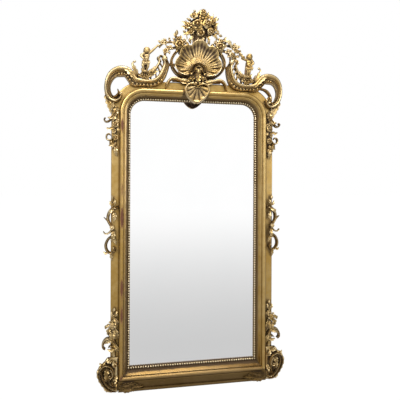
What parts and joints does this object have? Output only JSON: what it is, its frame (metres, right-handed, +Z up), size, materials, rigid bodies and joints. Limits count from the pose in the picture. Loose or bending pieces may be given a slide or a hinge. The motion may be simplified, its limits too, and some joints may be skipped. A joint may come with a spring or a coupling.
{
  "type": "trumeau mirror",
  "caption": "Tall gilt pier mirror with rounded top corners, beaded torus moulding, pierced scroll crest with shell, flowers and putti, scroll feet and swinging hanger rings.",
  "frame": {"origin": "on the floor, under the middle of the bottom rail, in the plane of the mirror's sight edge", "axes": "+X to the right seen from the front, +Y backwards to the wall, +Z up"},
  "size_m": [1.162, 0.1504, 2.302],
  "materials": {
    "gilding": "carved wood, water gilt over red bole, aged",
    "worn_gilding": "gilding rubbed through to the red bole",
    "pine": "bare aged softwood",
    "iron": "wrought iron, dark",
    "silvering": "silvered plate glass"
  },
  "bodies": {
    "frame": {"stile_left": "gilding", "stile_right": "gilding", "top_rail": "gilding", "bottom_rail": "gilding", "corner_block_left": "gilding", "corner_block_right": "gilding", "moulding_left": "worn_gilding", "moulding_right": "gilding", "moulding_top": "gilding", "moulding_bottom": "gilding", "moulding_corner_left": "gilding", "moulding_corner_right": "gilding", "pearl_course_left": "gilding", "pearl_course_right": "gilding", "pearl_course_top": "gilding", "pearl_course_bottom": "gilding", "mirror_plate": "silvering", "glass_fillet_left": "pine", "glass_fillet_right": "pine", "glass_fillet_top": "pine", "glass_fillet_bottom": "pine", "backboard_lower": "pine", "backboard_upper": "pine", "batten_lower": "pine", "batten_upper": "pine", "hanger_strap_left": "iron", "hanger_strap_right": "iron", "crest_board": "pine", "crest_brace_left": "pine", "crest_brace_right": "pine", "crest_shell": "gilding", "crest_ring_left": "gilding", "crest_ring_right": "gilding", "crest_boss": "gilding", "crest_cartouche": "gilding", "crest_branch_left": "gilding", "crest_branch_right": "gilding", "crest_bouquet": "gilding", "garland_left": "gilding", "garland_right": "gilding", "crest_scroll_left": "gilding", "crest_scroll_right": "gilding", "bowl_leaves_left": "gilding", "bowl_leaves_right": "gilding", "putto_left": "gilding", "putto_right": "gilding", "side_festoon_left": "gilding", "side_festoon_right": "gilding", "side_drop_left": "gilding", "side_drop_right": "gilding", "lower_spray_left": "gilding", "lower_spray_right": "gilding", "scroll_foot_left": "gilding", "scroll_foot_right": "gilding", "base_moulding": "gilding", "base_leaf_left": "gilding", "base_leaf_right": "gilding"},
    "ring_left": {"hanger_ring_left": "iron"},
    "ring_right": {"hanger_ring_right": "iron"}
  },
  "joints": [
    {"name": "ring_left_swing", "type": "hinge", "parent": "frame", "child": "ring_left", "pos_m": [-0.4615, 0.0343, 1.511], "axis": [1, 0, 0], "range_deg": [0, 170]},
    {"name": "ring_right_swing", "type": "hinge", "parent": "frame", "child": "ring_right", "pos_m": [0.4615, 0.0343, 1.511], "axis": [1, 0, 0], "range_deg": [0, 170]}
  ]
}
